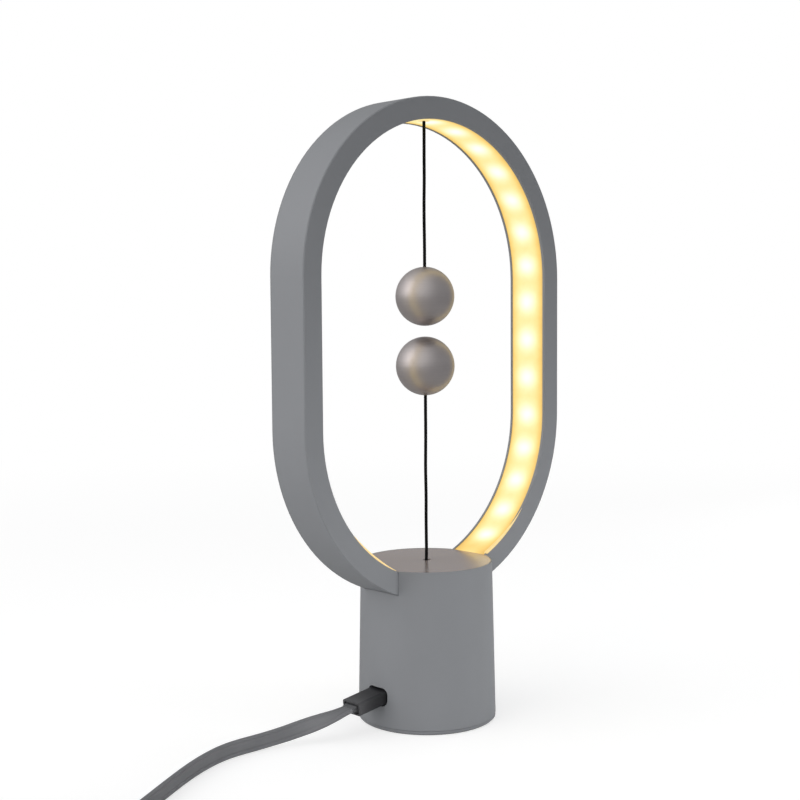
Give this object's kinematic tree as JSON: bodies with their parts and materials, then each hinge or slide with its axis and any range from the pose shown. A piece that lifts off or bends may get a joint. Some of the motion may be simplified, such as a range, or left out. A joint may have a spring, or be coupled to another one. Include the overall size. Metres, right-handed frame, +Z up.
{
  "type": "magnetic balance lamp",
  "caption": "Lit oval ring standing on a round base, with a ball on a cord hanging from the top and a ball on a pull cord rising from the base to switch it.",
  "frame": {"origin": "centre of the base's underside, where the foot pad rests", "axes": "+Z up along the cords, +X across the ring's width with the socket on the -X side, +Y from the ring's front to its back"},
  "size_m": [0.5036, 0.1159, 0.4],
  "materials": {
    "grey_plastic": "satin painted grey",
    "grey_cover": "satin grey",
    "diffuser": "frosted, lit from behind",
    "led_lens": "glossy lens",
    "strip_white": "flexible strip",
    "dark_plastic": "satin dark",
    "mid_plastic": "matt glass filled",
    "ivory_plastic": "satin ivory",
    "steel": "zinc plated",
    "spring_steel": "drawn wire",
    "magnet": "nickel plated",
    "brass": "bright brass",
    "ball_metal": "satin champagne metal",
    "disc_metal": "turned and brushed",
    "ballast_iron": "black oxide",
    "rubber": "soft matt",
    "board_green": "solder mask",
    "wire_red": "insulated wire",
    "black_cord": "braided",
    "plug_plastic": "satin moulded",
    "cable_grey": "smooth flat cable"
  },
  "bodies": {
    "lamp": {"ring_housing": "grey_plastic", "ring_back_cover": "grey_cover", "light_diffuser": "diffuser", "led_strip": "strip_white", "leds": "led_lens", "ring_end_blocks": "mid_plastic", "ring_saddle": "mid_plastic", "saddle_screws": "steel", "cord_anchor": "dark_plastic", "upper_cord_knot": "black_cord", "base_shell": "grey_plastic", "top_disc": "disc_metal", "cord_guide": "dark_plastic", "foot_plate": "grey_cover", "foot_pad": "rubber", "cover_screws": "steel", "ballast_weight": "ballast_iron", "ballast_screws": "steel", "board_spacers": "brass", "control_board": "board_green", "board_parts": "dark_plastic", "board_screws": "steel", "socket_cup": "dark_plastic", "socket_board": "board_green", "usb_socket": "steel", "inner_wires": "wire_red", "switch_housing": "dark_plastic", "switch_cap": "ivory_plastic", "contact_pins": "brass", "return_spring": "spring_steel"},
    "slider": {"switch_slider": "ivory_plastic", "contact_ring": "brass", "pull_cord_stub": "black_cord"},
    "lower_pivot": {"lower_pivot_bead": "black_cord"},
    "lower_tether": {"lower_cord": "black_cord", "lower_cord_ferrule": "black_cord"},
    "lower_ball": {"lower_ball_top": "ball_metal", "lower_ball_bottom": "ball_metal", "lower_ball_core": "mid_plastic", "lower_magnet": "magnet"},
    "upper_pivot": {"upper_pivot_bead": "black_cord"},
    "upper_pendulum": {"upper_cord": "black_cord", "upper_ball_top": "ball_metal", "upper_ball_bottom": "ball_metal", "upper_ball_core": "mid_plastic", "upper_magnet": "magnet"},
    "power_cord": {"plug_grip": "plug_plastic", "plug_shell": "steel", "cable": "cable_grey", "cable_coil": "cable_grey", "coil_tie": "rubber", "charger_plug_grip": "plug_plastic", "charger_plug_shell": "steel"}
  },
  "joints": [
    {"name": "switch_pull", "type": "slide", "parent": "lamp", "child": "slider", "axis": [0, 0, 1], "range_m": [-0.0015, 0], "stiffness_N_per_m": 150, "springref_m": -0.004, "deforming": ["return_spring"]},
    {"name": "lower_swing_front", "type": "hinge", "parent": "slider", "child": "lower_pivot", "pos_m": [0, 0, 0.1034], "axis": [1, 0, 0], "range_deg": [-10, 10], "stiffness_Nm_per_rad": 0.12},
    {"name": "lower_swing_side", "type": "hinge", "parent": "lower_pivot", "child": "lower_tether", "pos_m": [0, 0, 0.1034], "axis": [0, 1, 0], "range_deg": [-10, 10], "stiffness_Nm_per_rad": 0.12},
    {"name": "lower_ball_drop", "type": "slide", "parent": "lower_tether", "child": "lower_ball", "axis": [0, 0, 1], "range_m": [-0.1054, 0], "deforming": ["lower_cord"]},
    {"name": "upper_swing_front", "type": "hinge", "parent": "lamp", "child": "upper_pivot", "pos_m": [0, 0, 0.3856], "axis": [1, 0, 0], "range_deg": [-35, 35]},
    {"name": "upper_swing_side", "type": "hinge", "parent": "upper_pivot", "child": "upper_pendulum", "pos_m": [0, 0, 0.3856], "axis": [0, 1, 0], "range_deg": [-25, 25]},
    {"name": "plug_pull", "type": "slide", "parent": "lamp", "child": "power_cord", "axis": [-0.9903, 0, -0.1392], "range_m": [0, 0.009]}
  ]
}
